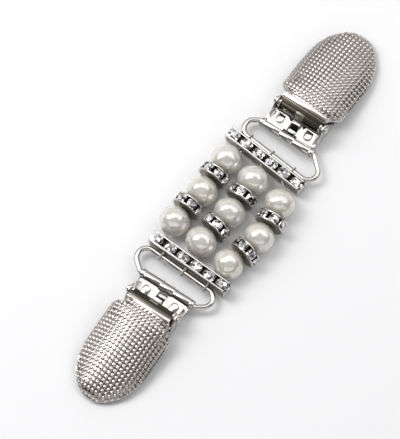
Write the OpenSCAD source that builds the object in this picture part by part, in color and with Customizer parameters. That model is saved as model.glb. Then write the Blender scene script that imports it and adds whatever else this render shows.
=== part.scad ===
// Sweater clip: three short strands of pearl beads with stone-set spacers, held between two stone-set
// end bars, with a wire loop and a folding clip at each end. It lies flat on a table.
// Millimetres. The strands lie along X, the clips are at +X and -X, and Z is up from the table.

/* [Strands] */
// Diameter of a pearl bead
pearl_d = 8; // [6:0.5:12]
// Hole through a pearl bead
pearl_bore_d = 1.3; // [0.8:0.1:2]
// Distance along a strand between two pearls
pearl_pitch = 10.95; // [9:0.05:15]
// Height of the strands' centre line
strand_z = 4.15; // [3:0.05:7]
// Thickness of the thread
thread_d = 0.5; // [0.3:0.05:0.6]

/* [Stone-set spacers] */
// Diameter of a spacer
rondelle_d = 8.3; // [6:0.1:12]
// Length of a spacer along the strand
rondelle_w = 2.8; // [2:0.1:4]
// Thickness of each metal rim
rim_t = 0.4; // [0.3:0.05:0.8]
// Diameter of the core that the stones stand on
rondelle_core_d = 4.6; // [3:0.1:6]
// Hole through a spacer
rondelle_bore_d = 1.4; // [0.8:0.1:2]
// Diameter of a spacer's stones
rondelle_stone_d = 2.8; // [1.5:0.1:4]
// Stones round a spacer
rondelle_stones = 7; // [5:1:9]

/* [End bars] */
// Distance of an end bar from the middle
bar_x = 17.35; // [15:0.05:25]
// Sideways place of the bars and clips, one way at each end
end_y = 1; // [0:0.1:2]
// Turn of the right end bar in degrees
bar_turn_right = -2.2; // [-5:0.1:5]
// Turn of the left end bar in degrees
bar_turn_left = 0.5; // [-5:0.1:5]
// Length of an end bar's rims
bar_l = 25.2; // [20:0.1:35]
// Width of an end bar
bar_w = 3.1; // [2.5:0.1:5]
// Height of an end bar's lower edge
bar_z = 1.2; // [0:0.1:3]
// Height of an end bar's rims
bar_h = 4.5; // [3:0.1:7]
// Stones in a bar
bar_stones = 6; // [4:1:9]
// Distance between a bar's stones
bar_stone_pitch = 4.2; // [3:0.1:6]
// Diameter of a bar's stones
bar_stone_d = 2.9; // [2:0.1:4]
// Distance between the thread slots of a bar
slot_pitch = 7.2; // [6:0.1:10]

/* [Wire loops] */
// Thickness of the wire
wire_d = 1.5; // [1:0.1:2.5]
// Height of the wire's centre line
loop_z = 2.95; // [2:0.05:5]
// Distance of the wire from the bar's centre line
loop_gap = 2.6; // [2:0.05:4]
// Half length of the loop's bar side, to where its outer edges would meet
loop_half = 16.9; // [12:0.1:20]
// Sideways place of the loop's bar side on the bar
loop_shift = -0.9; // [-2:0.1:2]
// Radius of the wire's bend beside the bar
loop_bend = 2.6; // [1.5:0.1:5]
// Radius of the wire's bend beside the hem
hem_bend = 1; // [0.8:0.1:3]

/* [Clips] */
// Distance of a clip's ridge from the middle
clip_x = 34.6; // [30:0.1:45]
// Turn of a clip in degrees
clip_turn = 2.8; // [-5:0.1:5]
// Thickness of the sheet metal
sheet_t = 0.5; // [0.3:0.05:1]
// Place of the rolled hem behind the ridge
hem_u = -8.4; // [-12:0.1:-6]
// Half length of the rolled hem
hem_half = 8.2; // [6:0.1:10]
// Play between the wire and the hem
hem_play = 0.08; // [0.03:0.01:0.1]
// Height of the panel's underside
panel_z = 3.2; // [2:0.1:5]
// Half width of the sheet between its side ears
ear_in = 7; // [5:0.1:9]
// Length of the lower jaw beyond the ridge
jaw_l = 20; // [10:0.5:24]
// Place of the hinge pin behind the ridge
pin_u = -2.07; // [-4:0.01:0]
// Height of the hinge pin
pin_z = 5.95; // [4:0.05:8]
// Thickness of the hinge pin
pin_d = 1.3; // [0.8:0.1:2]
// Play of the pin in the plate's ears
ear_play = 0.03; // [0.01:0.01:0.1]
// Play of the pin in the flap's lugs
lug_play = 0.06; // [0.02:0.01:0.1]

/* [Hidden] */
$fn = 48;
side_y = 0.72;
wire_r = wire_d / 2;
pin_r = pin_d / 2;
hem_in = wire_r + hem_play;
hem_out = hem_in + sheet_t;
panel_top = panel_z + sheet_t;
ear_out = ear_in + sheet_t;

// Each strand: height up the picture, lengthwise shift, bow and lean of its line
STRANDS = [[9.45, 0.45, -0.6, -0.012], [0.3, 0.05, -0.85, -0.01], [-8.9, -0.75, -2.1, 0.01]];
// Turns of the two spacers of each strand, from their places in the picture
LEANS = [[0.5, 2.7, 6.5], [-0.5, -7, -11]];

// How far each spacer has turned on its thread, which moves the stones that show
SPINS = [[-10, 18, 0], [-7, 3, 25]];

function place_x(s, k) = STRANDS[s][1] + k * pearl_pitch * (s == 2 ? 0.985 : 1);
function line_y(s, x) = STRANDS[s][0] + STRANDS[s][2] * (1 - pow(x / 12, 2)) + STRANDS[s][3] * x;
function line_turn(s, x) = atan(-STRANDS[s][2] * x / 72 + STRANDS[s][3]);
function on_line(s, k, d) =
    let (x = place_x(s, k), t = line_turn(s, x))
    [x + d * cos(t), line_y(s, x) + d * sin(t), strand_z];
function turned(p, a) = [p[0] * cos(a) - p[1] * sin(a), p[0] * sin(a) + p[1] * cos(a)];
function bar_turn(side) = side > 0 ? bar_turn_right : bar_turn_left;
function bar_point(side, p) = [bar_x, end_y] + turned(p, bar_turn(side));
function clip_point(p) = [clip_x, end_y] + turned(p, clip_turn);

module whole() {
    translate([0, side_y, 0]) children();
}

module at_end(side) {
    whole() rotate([0, 0, side > 0 ? 0 : 180]) children();
}

module at_bar(side) {
    at_end(side) translate([bar_x, end_y, 0]) rotate([0, 0, bar_turn(side)]) children();
}

module at_clip(side) {
    at_end(side) translate([clip_x, end_y, 0]) rotate([0, 0, clip_turn]) children();
}

// A profile drawn as length and height, given a half width to each side
module sheet_across(half) {
    translate([0, half, 0]) rotate([90, 0, 0]) linear_extrude(2 * half) children();
}

// The same from one half width to another, on both sides
module sheet_both(from, to) {
    for (s = [-1, 1])
        translate([0, s * (from + to) / 2 + (to - from) / 2, 0])
            rotate([90, 0, 0]) linear_extrude(to - from) children();
}

// A pearl bead, drilled along its strand
module pearl(s, k) {
    x = place_x(s, k);
    color("ivory") whole() translate([x, line_y(s, x), strand_z]) rotate([0, 90, line_turn(s, x)])
        difference() {
            sphere(d = pearl_d, $fn = 64);
            cylinder(d = pearl_bore_d, h = pearl_d + 2, center = true);
        }
}

module at_rondelle(s, row) {
    x = place_x(s, row == 0 ? 0.5 : -0.5);
    whole() translate([x, line_y(s, x), strand_z]) rotate([0, 0, LEANS[row][s]]) rotate([0, 90, 0])
        children();
}

// A spacer: two rims on a core, in one piece
module rondelle(s, row) {
    color("silver") at_rondelle(s, row) difference() {
        union() {
            for (m = [-1, 1])
                translate([0, 0, m * (rondelle_w - rim_t) / 2])
                    cylinder(d = rondelle_d, h = rim_t, center = true, $fn = 64);
            cylinder(d = rondelle_core_d, h = rondelle_w - rim_t, center = true);
        }
        cylinder(d = rondelle_bore_d, h = rondelle_w + 2, center = true);
    }
}

// A round cut stone with a table, point down, its widest part at height 0
module stone(d) {
    rotate([0, 0, 22.5]) {
        translate([0, 0, -0.38 * d]) cylinder(d1 = 0.16 * d, d2 = d, h = 0.34 * d, $fn = 8);
        translate([0, 0, -0.04 * d]) cylinder(d = d, h = 0.04 * d, $fn = 8);
        cylinder(d1 = d, d2 = 0.56 * d, h = 0.15 * d, $fn = 8);
    }
}

// The stones round a spacer, trimmed to lie between its rims
module rondelle_stone_ring(s, row) {
    gap = rondelle_w - 2 * rim_t - 0.1;
    color("white") at_rondelle(s, row) for (i = [0 : rondelle_stones - 1])
        rotate([0, 0, 180 - SPINS[row][s] + 360 * i / rondelle_stones]) intersection() {
            translate([rondelle_d / 2 - 0.45, 0, 0]) rotate([0, 90, 0]) stone(rondelle_stone_d);
            cube([3 * rondelle_d, rondelle_d, gap], center = true);
        }
}

// An end bar: two rims on a core, with three slots through for the threads
module end_bar(side) {
    mid = bar_z + bar_h / 2;
    top = bar_z + bar_h;
    color("silver") at_bar(side) difference() {
        union() {
            for (m = [-1, 1])
                translate([m * (bar_w - rim_t) / 2 - rim_t / 2, 0, 0]) rotate([90, 0, 90])
                    linear_extrude(rim_t) polygon([
                        [-bar_l / 2, mid], [-bar_l / 2 + 0.35, bar_z + 0.4],
                        [-bar_l / 2 + 1, bar_z], [bar_l / 2 - 1, bar_z],
                        [bar_l / 2 - 0.35, bar_z + 0.4], [bar_l / 2, mid],
                        [bar_l / 2 - 0.25, top - 0.5], [bar_l / 2 - 0.7, top],
                        [-bar_l / 2 + 0.7, top], [-bar_l / 2 + 0.25, top - 0.5],
                    ]);
            translate([-bar_w / 2 + rim_t / 2, -bar_l / 2 + 0.7, bar_z])
                cube([bar_w - rim_t, bar_l - 1.4, 2.95]);
        }
        for (i = [-1 : 1])
            translate([-bar_w, i * slot_pitch - 0.5, bar_z + 0.5])
                cube([2 * bar_w, 1, 2.85]);
    }
}

module end_bar_stone_row(side) {
    gap = bar_w - 2 * rim_t - 0.1;
    color("white") at_bar(side) intersection() {
        for (i = [0 : bar_stones - 1])
            translate([0, (i - (bar_stones - 1) / 2) * bar_stone_pitch, bar_z + bar_h - 0.35])
                stone(bar_stone_d);
        translate([0, 0, bar_z + bar_h]) cube([gap, 2 * bar_l, 6], center = true);
    }
}

// A strand's thread, doubled: out through its beads and a bar, round the wire and back again.
// Each entry is a point and the direction that lies across the thread there.
function bead_run(s, h) = [
    for (k = [-1 : 0.5 : 1])
        let (half = floor(k) == k ? pearl_d / 2 + 0.02 : rondelle_w / 2, x = place_x(s, k))
        for (d = [-half, half])
            [on_line(s, k, d) + [0, side_y, h], level(turned([0, 1], line_turn(s, x)))],
];

// Round the wire at one end, from the upper run to the lower one
function lash(s, side) =
    let (
        r = wire_r + thread_d / 2 + 0.025,
        v = side * (1 - s) * slot_pitch,
        mouth = -bar_w / 2 - 0.3 - loop_gap,
        high = [mouth, strand_z - 0.12 + thread_d / 2 + 0.03 - loop_z],
        low = [mouth, strand_z - 0.12 - thread_d / 2 - 0.03 - loop_z],
        from = atan2(high[1], high[0]) - acos(r / norm(high)),
        to = atan2(low[1], low[0]) + acos(r / norm(low)) - 360,
        steps = 14,
        round_wire = [for (i = [0 : steps]) let (a = from + (to - from) * i / steps)
            [r * cos(a), r * sin(a)]]
    )
    [for (q = concat([high], round_wire, [low])) end_point(side, [q[0] + loop_gap, v], q[1] + loop_z)];

function end_point(side, p, z) =
    let (w = side * bar_point(side, p), t = side * turned([0, 1], bar_turn(side)))
    [[w[0], w[1] + side_y, z], level(side * t)];

function level(p) = [p[0], p[1], 0];

function backwards(list) = [for (i = [len(list) - 1 : -1 : 0]) list[i]];

// A closed tube through a list of such entries
module closed_tube(path, r, sides) {
    n = len(path);
    polyhedron(
        points = [for (i = [0 : n - 1])
            let (
                way = path[(i + 1) % n][0] - path[(i + n - 1) % n][0],
                t = way / norm(way),
                across = path[i][1] - (path[i][1] * t) * t,
                a = across / norm(across),
                b = cross(t, a)
            )
            for (j = [0 : sides - 1])
                path[i][0] + r * cos(360 * j / sides) * a + r * sin(360 * j / sides) * b],
        faces = [for (i = [0 : n - 1], j = [0 : sides - 1])
            let (p = i * sides, q = (i + 1) % n * sides, k = (j + 1) % sides)
            each [[p + j, q + j, p + k], [p + k, q + j, q + k]]]
    );
}

module thread(s) {
    apart = thread_d / 2 + 0.03;
    color("ivory") closed_tube(concat(
        bead_run(s, apart), lash(s, 1), backwards(bead_run(s, -apart)), backwards(lash(s, -1))
    ), thread_d / 2, 8);
}

// The wire's path: four corners, each rounded by an arc
function loop_corner(corners, bends, i) =
    let (
        p = corners[i],
        before = corners[(i + 3) % 4] - p,
        after = corners[(i + 1) % 4] - p,
        half = acos(before * after / norm(before) / norm(after)) / 2,
        middle = before / norm(before) + after / norm(after),
        centre = p + middle / norm(middle) * bends[i] / sin(half),
        first = atan2(-middle[1], -middle[0]) + 90 - half,
        steps = ceil((180 - 2 * half) / 9)
    )
    [for (k = [0 : steps]) let (a = first - k * (180 - 2 * half) / steps)
        centre + bends[i] * [cos(a), sin(a)]];

module wire_loop(side) {
    corners = [
        bar_point(side, [loop_gap, loop_shift + loop_half]), clip_point([hem_u, hem_half + 0.5]),
        clip_point([hem_u, -hem_half - 0.5]), bar_point(side, [loop_gap, loop_shift - loop_half]),
    ];
    bends = [loop_bend, hem_bend, hem_bend, loop_bend];
    color("silver") at_end(side) closed_tube([
        for (i = [0 : 3]) for (q = loop_corner(corners, bends, i)) [[q[0], q[1], loop_z], [0, 0, 1]],
    ], wire_r, 24);
}

// The window, the pressed U marks and the slits of a clip's panel, seen from above
module panel_cuts() {
    translate([-6.9, -1.3]) square([2.8, 2.6]);
    for (s = [-1, 1]) {
        translate([0, s * 4.4]) difference() {
            union() {
                translate([-5.3, 0]) circle(r = 1.2);
                translate([-5.3, -1.2]) square([1.5, 2.4]);
            }
            translate([-5.3, 0]) circle(r = 0.95);
            translate([-5.3, -0.95]) square([2, 1.9]);
        }
        translate([-6, s * 6.6 - 0.12]) square([2.2, 0.24]);
    }
}

// Hem, panel, ears, web and lower jaw of a clip, folded from one sheet
module clip_plate(side) {
    ear = [
        [-6, panel_z], [-6, panel_top], [-3.35, 6.9], [pin_u, pin_z + 1.6], [-0.8, 6.9], [0.6, 4.1],
        [2.6, 0.5], [2.6, 0], [-1.1, 0], [-3.05, panel_z],
    ];
    color("silver") at_clip(side) difference() {
        union() {
            difference() {
                translate([hem_u, hem_half, loop_z]) rotate([90, 0, 0])
                    cylinder(r = hem_out, h = 2 * hem_half);
                for (s = [-1, 1])
                    translate([hem_u - 0.35, s * 4.65 - 2.65, loop_z + 0.3]) cube([0.95, 5.3, 2]);
            }
            translate([0, 0, panel_z]) linear_extrude(sheet_t) difference() {
                polygon([[hem_u + 1.1, -7.8], [-3, -ear_out], [-3, ear_out], [hem_u + 1.1, 7.8]]);
                panel_cuts();
            }
            sheet_across(ear_out) polygon([
                [-3.01, panel_top], [-3.1, panel_z], [-1.25, 0], [-1, sheet_t], [-2.75, panel_top - 0.2],
            ]);
            linear_extrude(sheet_t) polygon([
                [-1.25, -ear_out], [2.6, -ear_out], [3, -ear_in], [jaw_l - 3, -ear_in],
                [jaw_l - 0.6, -ear_in + 1.6], [jaw_l, -ear_in + 3], [jaw_l, ear_in - 3],
                [jaw_l - 0.6, ear_in - 1.6], [jaw_l - 3, ear_in], [3, ear_in], [2.6, ear_out],
                [-1.25, ear_out],
            ]);
            sheet_both(ear_in, ear_out) {
                polygon(ear);
                translate([pin_u, pin_z]) circle(r = 1.6);
            }
        }
        translate([hem_u, 10, loop_z]) rotate([90, 0, 0]) cylinder(r = hem_in, h = 20);
        translate([pin_u, 10, pin_z]) rotate([90, 0, 0]) cylinder(r = pin_r + ear_play, h = 20);
    }
}

// The toothed upper jaw: hooked under the panel's window, over its edge and out under the flap
module jaw_spring(side) {
    low = panel_z - 0.1 - sheet_t;
    tab = panel_top + 0.15;
    tab_top = tab + sheet_t;
    color("silver") at_clip(side) {
        sheet_across(1.15) polygon([
            [-6.6, low], [-4.75, low], [-4.25, tab], [-2, tab], [-2, tab_top], [-4.5, tab_top],
            [-5.05, low + sheet_t], [-6.6, low + sheet_t],
        ]);
        translate([-6.7, -2.3, low]) cube([0.9, 4.6, sheet_t]);
        difference() {
            sheet_across(6.5) polygon([
                [-2.5, tab], [-0.9, tab], [17.2, 1.3], [17.6, 0.75], [18, 1.3], [17.6, 1.75],
                [-0.8, tab_top], [-2.5, tab_top],
            ]);
            for (s = [-1, 1])
                translate([0, 0, -1]) linear_extrude(8) polygon([
                    [0.6, s * 6.6], [2.2, s * 5.5], [15.5, s * 5.5], [18.1, s * 4], [18.1, s * 6.6],
                ]);
        }
    }
}

module hinge_pin(side) {
    color("silver") at_clip(side) translate([pin_u, 0, pin_z]) rotate([90, 0, 0]) {
        cylinder(r = pin_r, h = 2 * ear_out + 0.5, center = true);
        for (m = [-1, 1])
            translate([0, 0, m * (ear_out + 0.425)]) cylinder(r = 1, h = 0.75, center = true);
    }
}

// The flap's outline and heights along its length
WIDTHS = [
    [0, 6.7], [0.8, 6.8], [1.4, 7.2], [1.9, 8.1], [2.4, 8.9], [3.2, 9.3], [4.5, 9.4], [8, 9.45],
    [12, 9.4], [15, 9.3], [17.5, 9], [20, 8.3], [22, 7.5], [24, 6], [25.5, 4.5], [26.5, 3],
    [27.15, 0.5],
];
CROWNS = [[0, 8.3], [3, 8.35], [8, 7.8], [14, 6.6], [20, 5.1], [24, 3.9], [26, 2.9], [27.15, 1.4]];
STATIONS = [0, 0.8, 1.4, 1.9, 2.4, 3.2, 4.5, 6.2, 8, 10, 12, 15, 17.5, 20, 22, 24, 25.5, 26.6];
FLAP_L = 27.15;
ACROSS = 20;

function rim_z(u) = 4.6 - 3.6 * u / 28;
function bend(t) = sign(t) * pow(abs(t), 2 / 2.6);
function flap_row(u, in) =
    let (w = lookup(u, WIDTHS) - in, h = lookup(u, CROWNS) - in - rim_z(u), v = u * (1 - in / FLAP_L))
    [for (j = [0 : ACROSS]) let (a = 180 - 180 * j / ACROSS)
        [v, w * bend(cos(a)), rim_z(u) + max(h, 0.05) * bend(sin(a))]];
function flap_skin(in) = [
    for (u = STATIONS) each flap_row(u, in),
    [FLAP_L - in, 0, rim_z(FLAP_L)],
];

// The domed shell of a lever flap
module flap_shell() {
    row = ACROSS + 1;
    rows = len(STATIONS);
    tip = row * rows;
    n = tip + 1;
    last = row * (rows - 1);
    polyhedron(points = concat(flap_skin(0), flap_skin(sheet_t)), faces = [
        for (i = [0 : rows - 2], j = [0 : ACROSS - 1]) let (p = i * row + j) each [
            [p + 1, p + row, p], [p + row + 1, p + row, p + 1],
            [n + p + row, n + p + 1, n + p], [n + p + row, n + p + row + 1, n + p + 1],
        ],
        for (j = [0 : ACROSS - 1]) each [
            [last + j + 1, tip, last + j], [n + tip, n + last + j + 1, n + last + j],
            [n + j, j + 1, j], [n + j, n + j + 1, j + 1],
        ],
        for (i = [0 : rows - 2]) let (p = i * row, q = i * row + ACROSS) each [
            [p + row, n + p, p], [p + row, n + p + row, n + p],
            [n + q, q + row, q], [n + q, n + q + row, q + row],
        ],
        [tip, n + last, last], [tip, n + tip, n + last],
        [n + last + ACROSS, tip, last + ACROSS], [n + last + ACROSS, n + tip, tip],
    ]);
}

// A lever flap: shell, ridge strip and two hinge lugs, in one piece
module lever_flap(side) {
    color("silver") at_clip(side) difference() {
        union() {
            flap_shell();
            sheet_across(6.6) polygon([
                [-1.75, 7.55], [-0.1, 8.3], [0.3, 8.3], [0.3, 7.8], [0, 7.8], [-1.55, 7.08],
            ]);
            sheet_both(6.05, 6.55) {
                polygon([[-1.7, 7.3], [-0.1, 8.1], [0.3, 8.1], [0.3, 4.62], [-1.9, 4.47]]);
                translate([pin_u, pin_z]) circle(r = 1.5);
            }
        }
        translate([pin_u, 10, pin_z]) rotate([90, 0, 0]) cylinder(r = pin_r + lug_play, h = 20);
    }
}

pearl(0, 1);  // pearl_a1
pearl(0, 0);  // pearl_a2
pearl(0, -1);  // pearl_a3
pearl(1, 1);  // pearl_b1
pearl(1, 0);  // pearl_b2
pearl(1, -1);  // pearl_b3
pearl(2, 1);  // pearl_c1
pearl(2, 0);  // pearl_c2
pearl(2, -1);  // pearl_c3
rondelle(0, 0);  // rondelle_a1
rondelle(0, 1);  // rondelle_a2
rondelle(1, 0);  // rondelle_b1
rondelle(1, 1);  // rondelle_b2
rondelle(2, 0);  // rondelle_c1
rondelle(2, 1);  // rondelle_c2
rondelle_stone_ring(0, 0);  // rondelle_stones_a1
rondelle_stone_ring(0, 1);  // rondelle_stones_a2
rondelle_stone_ring(1, 0);  // rondelle_stones_b1
rondelle_stone_ring(1, 1);  // rondelle_stones_b2
rondelle_stone_ring(2, 0);  // rondelle_stones_c1
rondelle_stone_ring(2, 1);  // rondelle_stones_c2
end_bar(1);  // end_bar_right
end_bar(-1);  // end_bar_left
end_bar_stone_row(1);  // end_bar_stones_right
end_bar_stone_row(-1);  // end_bar_stones_left
thread(0);  // thread_a
thread(1);  // thread_b
thread(2);  // thread_c
wire_loop(1);  // wire_loop_right
wire_loop(-1);  // wire_loop_left
clip_plate(1);  // clip_plate_right
clip_plate(-1);  // clip_plate_left
jaw_spring(1);  // jaw_spring_right
jaw_spring(-1);  // jaw_spring_left
hinge_pin(1);  // hinge_pin_right
hinge_pin(-1);  // hinge_pin_left
lever_flap(1);  // lever_flap_right
lever_flap(-1);  // lever_flap_left
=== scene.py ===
"""Looks of the sweater clip: pearls, stone-set spacers and bars, wire loops and folding clips.

Shapes are drawn in millimetres in each part's own frame, and scaled to metres where they are put
in place.
"""

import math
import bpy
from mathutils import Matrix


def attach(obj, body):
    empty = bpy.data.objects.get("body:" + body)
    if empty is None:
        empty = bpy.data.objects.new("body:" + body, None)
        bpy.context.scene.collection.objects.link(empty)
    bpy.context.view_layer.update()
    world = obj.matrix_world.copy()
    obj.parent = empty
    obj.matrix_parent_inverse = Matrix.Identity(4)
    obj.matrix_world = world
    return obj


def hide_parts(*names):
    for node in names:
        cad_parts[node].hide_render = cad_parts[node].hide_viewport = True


bl_info = {
    "name": "Sweater clip",
    "version": (1, 0, 0),
    "blender": (4, 5, 0),
    "location": "View3D > Sidebar > Sweater clip",
    "description": "Makes a sweater clip of pearl strands, stone-set spacers and folding clips",
    "category": "Object",
}

from bisect import bisect_left

import bmesh
import bpy
from bpy.props import FloatProperty, FloatVectorProperty, IntProperty, PointerProperty
from mathutils import Matrix, Vector, noise

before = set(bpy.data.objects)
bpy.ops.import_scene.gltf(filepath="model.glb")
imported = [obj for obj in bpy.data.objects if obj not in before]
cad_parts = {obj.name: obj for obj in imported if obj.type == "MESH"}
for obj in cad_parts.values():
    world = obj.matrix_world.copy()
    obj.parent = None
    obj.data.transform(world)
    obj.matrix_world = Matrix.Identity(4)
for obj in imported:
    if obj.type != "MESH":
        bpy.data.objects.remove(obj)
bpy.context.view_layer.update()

MM = 0.001
SIDES = ("right", "left")

# Places, in millimetres and degrees, as in the part's source
SIDE_Y = 0.72
STRAND_Z = 4.15
PITCHES = (10.95, 10.95, 10.78575)
# Each strand's place across the band, its middle bead's place along it, its bow and its lean
STRANDS = [(9.45, 0.45, -0.6, -0.012), (0.3, 0.05, -0.85, -0.01), (-8.9, -0.75, -2.1, 0.01)]
BOW_REACH = 12
# Each spacer's lean across its strand and its spin about it, by row and strand
LEANS = [(0.5, 2.7, 6.5), (-0.5, -7, -11)]
SPINS = [(-10, 18, 0), (-7, 3, 25)]
BAR_X, END_Y, CLIP_X = 17.35, 1, 34.6
BAR_TURN = {"right": -2.2, "left": 0.5}
CLIP_TURN = 2.8
LOOP_Z = 2.95
HEM_U, HEM_HALF = -8.4, 8.2
PIN_U, PIN_Z = -2.07, 5.95


# Frames of the parts


def turn_z(degrees):
    return Matrix.Rotation(math.radians(degrees), 4, "Z")


def bar_frame(side):
    return Matrix.Translation((BAR_X, END_Y, 0)) @ turn_z(BAR_TURN[side])


def clip_frame():
    return Matrix.Translation((CLIP_X, END_Y, 0)) @ turn_z(CLIP_TURN)


def at_end(side):
    turn = turn_z(0 if side == "right" else 180)
    return Matrix.Scale(MM, 4) @ Matrix.Translation((0, SIDE_Y, 0)) @ turn


def at_bar(side):
    return at_end(side) @ bar_frame(side)


def at_clip(side):
    return at_end(side) @ clip_frame()


def across_clip(x, z):
    """Frame in a clip for a part spun round X, so that it runs along Y."""
    return Matrix.Translation((x, 0, z)) @ turn_z(90)


def place_x(strand, k):
    return STRANDS[strand][1] + k * PITCHES[strand]


def line_y(strand, x):
    height, _, bow, lean = STRANDS[strand]
    return height + bow * (1 - (x / BOW_REACH) ** 2) + lean * x


def line_turn(strand, x):
    _, _, bow, lean = STRANDS[strand]
    return math.degrees(math.atan(-2 * bow * x / BOW_REACH**2 + lean))


def on_strand(strand, k, turn):
    """Frame of a bead or spacer, its X along the strand."""
    x = place_x(strand, k)
    place = Matrix.Translation((x, line_y(strand, x) + SIDE_Y, STRAND_Z))
    return Matrix.Scale(MM, 4) @ place @ turn_z(turn)


# Meshes


# What each kind of piece stands for, its finishes, and the angle from which its edges are sharp
KINDS = {
    "bead": ("pearl", ["pearl"], 60),
    "spacer": ("rondelle", ["setting", "recess", "olive_painted_shade"], 35),
    "spacer_stones": ("rondelle_stones", ["stones"], 1),
    "bar": ("end_bar", ["setting", "recess", "olive_painted_shade"], 35),
    "bar_stones": ("end_bar_stones", ["stones"], 1),
    "strand_thread": ("thread", ["thread"], 180),
    "loop_wire": ("wire_loop", ["wire"], 60),
    "clip_sheet": ("clip_plate", ["plate"], 35),
    "spring_jaw": ("jaw_spring", ["spring", "recess"], 35),
    "rivet": ("hinge_pin", ["pin"], 35),
    "flap": ("lever_flap", ["flap", "inner", "olive_painted_shade"], 50),
}


def add_object(name, data):
    made = bpy.data.objects.new(name, data)
    bpy.context.scene.collection.objects.link(made)
    return made


def as_mesh(bm, name):
    """A mesh of the bmesh, which is freed."""
    mesh = bpy.data.meshes.new(name)
    bm.to_mesh(mesh)
    bm.free()
    return mesh


def finish_piece(bm, kind, label, place, body="band"):
    """The mesh in its place and finishes, riding on its body and standing for its node."""
    node, finishes, angle = KINDS[kind]
    bm.transform(place)
    name = f"{kind}_{label}"
    mesh = as_mesh(bm, name)
    for slot in finishes:
        mesh.materials.append(finish(slot))
    mesh.shade_smooth()
    if angle < 180:
        mesh.set_sharp_from_angle(angle=math.radians(angle))
    piece = add_object(name, mesh)
    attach(piece, body)
    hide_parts(f"{node}_{label}")


def add_to(bm, part, matrix=None, material=0):
    """Joins one bmesh into another and frees it. A material of None keeps the faces' own."""
    if matrix is not None:
        part.transform(matrix)
    if material is not None:
        for face in part.faces:
            face.material_index = material
    mesh = as_mesh(part, "joined")
    bm.from_mesh(mesh)
    bpy.data.meshes.remove(mesh)


def arc(x, y, radius, start, end, steps):
    turns = [math.radians(start + (end - start) * i / steps) for i in range(steps + 1)]
    return [(x + radius * math.cos(a), y + radius * math.sin(a)) for a in turns]


def rounded(points, radius):
    """A closed outline with its corners rounded, each radius cut down to fit its sides."""
    result = []
    count = len(points)
    radii = radius if isinstance(radius, list) else [radius] * count
    for i, point in enumerate(points):
        p = Vector(point)
        before, after = Vector(points[i - 1]) - p, Vector(points[(i + 1) % count]) - p
        reach = min(before.length, after.length) * 0.48
        half = before.angle(after) / 2
        if radii[i] < 1e-4 or half > math.radians(88):
            result.append((p.x, p.y))
            continue
        cut = min(radii[i] / math.tan(half), reach)
        a, b = p + before.normalized() * cut, p + after.normalized() * cut
        for t in (0, 0.25, 0.5, 0.75, 1):
            q = a * (1 - t) ** 2 + p * 2 * t * (1 - t) + b * t**2
            result.append((q.x, q.y))
    return result


def mirrored(points):
    """An outline from its half at negative y."""
    return points + [(x, -y) for x, y in reversed(points)]


def add_spline(curve, points):
    """A closed run of straight lines through points of two or three numbers."""
    spline = curve.splines.new("POLY")
    spline.points.add(len(points) - 1)
    for corner, point in zip(spline.points, points):
        corner.co = Vector(point).to_4d()
    spline.use_cyclic_u = True


def curve_solid(curve):
    """The mesh that a curve makes, its seams closed. The curve is removed."""
    drawn = add_object("drawn", curve)
    bpy.context.view_layer.update()
    mesh = bpy.data.meshes.new_from_object(
        drawn.evaluated_get(bpy.context.evaluated_depsgraph_get())
    )
    bpy.data.objects.remove(drawn)
    bpy.data.curves.remove(curve)
    bm = bmesh.new()
    bm.from_mesh(mesh)
    bpy.data.meshes.remove(mesh)
    bmesh.ops.remove_doubles(bm, verts=bm.verts, dist=1e-4)
    bmesh.ops.recalc_face_normals(bm, faces=bm.faces)
    return bm


# How a flat outline is stood up: across X it is drawn as (y, z), and across Y as (x, z)
STANDING = {
    "x": Matrix(((0, 0, 1), (1, 0, 0), (0, 1, 0))).to_4x4(),
    "y": Matrix(((1, 0, 0), (0, 0, -1), (0, 1, 0))).to_4x4(),
    "z": Matrix.Identity(4),
}


def plate(outlines, low, high, edge, axis="z"):
    """A flat plate from low to high on an axis, its outlines with holes among them."""
    curve = bpy.data.curves.new("outline", "CURVE")
    curve.dimensions = "2D"
    curve.fill_mode = "BOTH"
    for outline in outlines:
        add_spline(curve, outline)
    curve.bevel_depth = edge
    curve.bevel_resolution = 1
    curve.extrude = (high - low) / 2 - edge
    curve.offset = -edge
    bm = curve_solid(curve)
    middle = Vector([(low + high) / 2 if name == axis else 0 for name in "xyz"])
    bm.transform(Matrix.Translation(middle) @ STANDING[axis])
    return bm


def wire(path, radius):
    """A round wire in a closed loop."""
    curve = bpy.data.curves.new("wire", "CURVE")
    curve.dimensions = "3D"
    add_spline(curve, path)
    curve.bevel_depth = radius
    curve.bevel_resolution = 7
    curve.twist_mode = "Z_UP"
    return curve_solid(curve)


def turned_solid(profile, steps, angle=360.0, start=0.0, closed=False):
    """A profile of (along, radius) points spun round X, from start degrees on."""
    bm = bmesh.new()
    spun = Matrix.Rotation(math.radians(start), 4, "X")
    verts = [bm.verts.new(spun @ Vector((x, 0, r))) for x, r in profile]
    parts = verts + [bm.edges.new(pair) for pair in zip(verts, verts[1:])]
    full = angle >= 360
    if closed:
        parts.append(bm.edges.new((verts[-1], verts[0])))
        if not full:
            parts.append(bm.faces.new(verts))
    bmesh.ops.spin(
        bm,
        geom=parts,
        axis=(1, 0, 0),
        angle=math.radians(angle),
        steps=steps,
        use_merge=full,
    )
    bmesh.ops.remove_doubles(bm, verts=bm.verts, dist=1e-5)
    bmesh.ops.recalc_face_normals(bm, faces=bm.faces)
    return bm


def round_box(low, high, edge):
    """A box from one corner to the other, with rounded edges."""
    bm = bmesh.new()
    size = [b - a for a, b in zip(low, high)]
    bmesh.ops.create_cube(bm, size=1, matrix=Matrix.Diagonal((*size, 1)))
    bmesh.ops.bevel(
        bm,
        geom=bm.edges[:],
        offset=edge,
        segments=2,
        profile=0.5,
        affect="EDGES",
        material=-1,
    )
    bm.transform(Matrix.Translation([(a + b) / 2 for a, b in zip(low, high)]))
    return bm


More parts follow.
